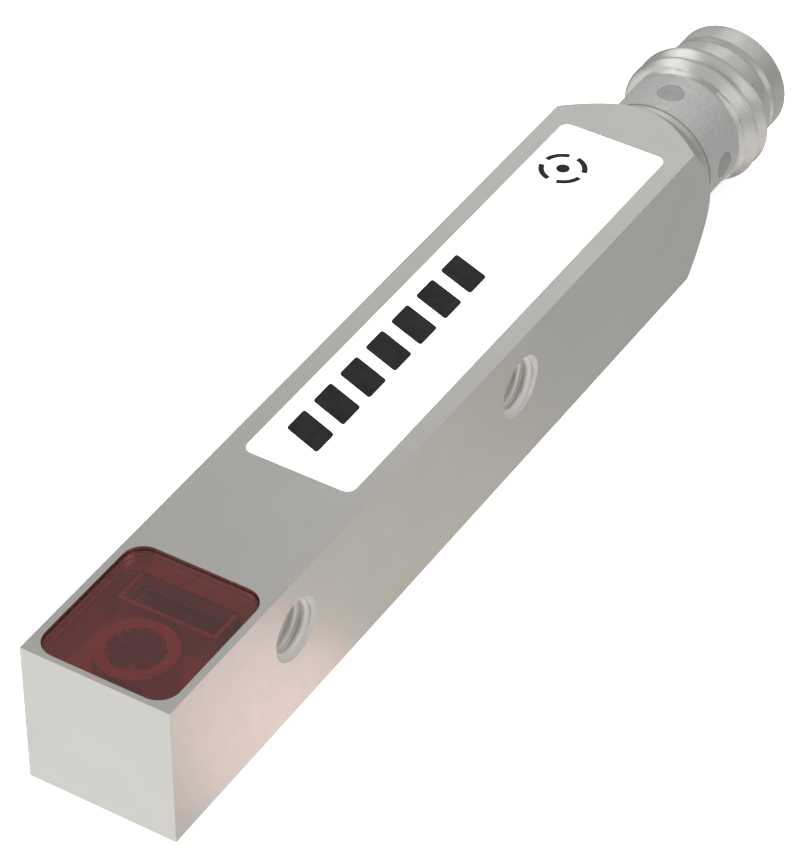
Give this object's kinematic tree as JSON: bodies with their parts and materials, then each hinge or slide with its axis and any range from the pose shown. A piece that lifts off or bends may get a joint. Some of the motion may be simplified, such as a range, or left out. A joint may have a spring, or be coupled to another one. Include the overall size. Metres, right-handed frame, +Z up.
{
  "type": "photoelectric sensor",
  "caption": "Miniature block photoelectric sensor: square metal body with a red window on top, threaded side holes, a light ring and a small round screw or snap plug connector.",
  "frame": {"origin": "centre of the part's box on the plane of the body's underside", "axes": "+Z up through the sensing face with the window, +Y along the body towards the plug connector, +X across the body"},
  "size_m": [0.008, 0.059, 0.008],
  "materials": {
    "housing_metal": "satin nickel-plated metal, fine blasted grain",
    "red_window": "clear dark red acrylic, polished",
    "window_adhesive": "matte grey-brown bead of adhesive",
    "grey_gasket": "matte dark grey rubber",
    "carrier_plastic": "light grey moulded plastic with a fine texture",
    "clear_lens": "clear polished acrylic",
    "led_package": "light diode package",
    "chip_package": "moulded epoxy package",
    "circuit_board": "green solder mask",
    "capacitor_body": "glazed ceramic",
    "frosted_plastic": "translucent grey plastic, frosted",
    "smoked_plastic": "smoky translucent plastic",
    "insulator_plastic": "black glass-filled plastic",
    "gold_contact": "gold-plated brass",
    "resin": "cured amber potting resin",
    "label_film": null
  },
  "bodies": {
    "root": {"housing": "housing_metal", "window_pane": "red_window", "window_seal": "window_adhesive", "optics_carrier": "carrier_plastic", "emitter_lens": "clear_lens", "receiver_lens": "clear_lens", "emitter_led": "led_package", "receiver_chip": "chip_package", "optics_board": "circuit_board", "board_connector": "chip_package", "main_board": "circuit_board", "control_chip": "chip_package", "voltage_regulator": "chip_package", "output_transistor": "chip_package", "protection_diodes": "chip_package", "tantalum_capacitor": "capacitor_body", "ceramic_capacitors": "capacitor_body", "chip_resistors": "chip_package", "indicator_leds": "led_package", "light_guide": "clear_lens", "threaded_sleeve": "housing_metal", "neck_collar": "housing_metal", "collar_gasket": "grey_gasket", "light_ring": "frosted_plastic", "light_windows": "smoked_plastic", "pin_carrier": "insulator_plastic", "contact_pin_1": "gold_contact", "contact_pin_3": "gold_contact", "contact_pin_4": "gold_contact", "lead_wires": "gold_contact", "potting_resin": "resin", "type_label": "label_film"}
  },
  "joints": []
}
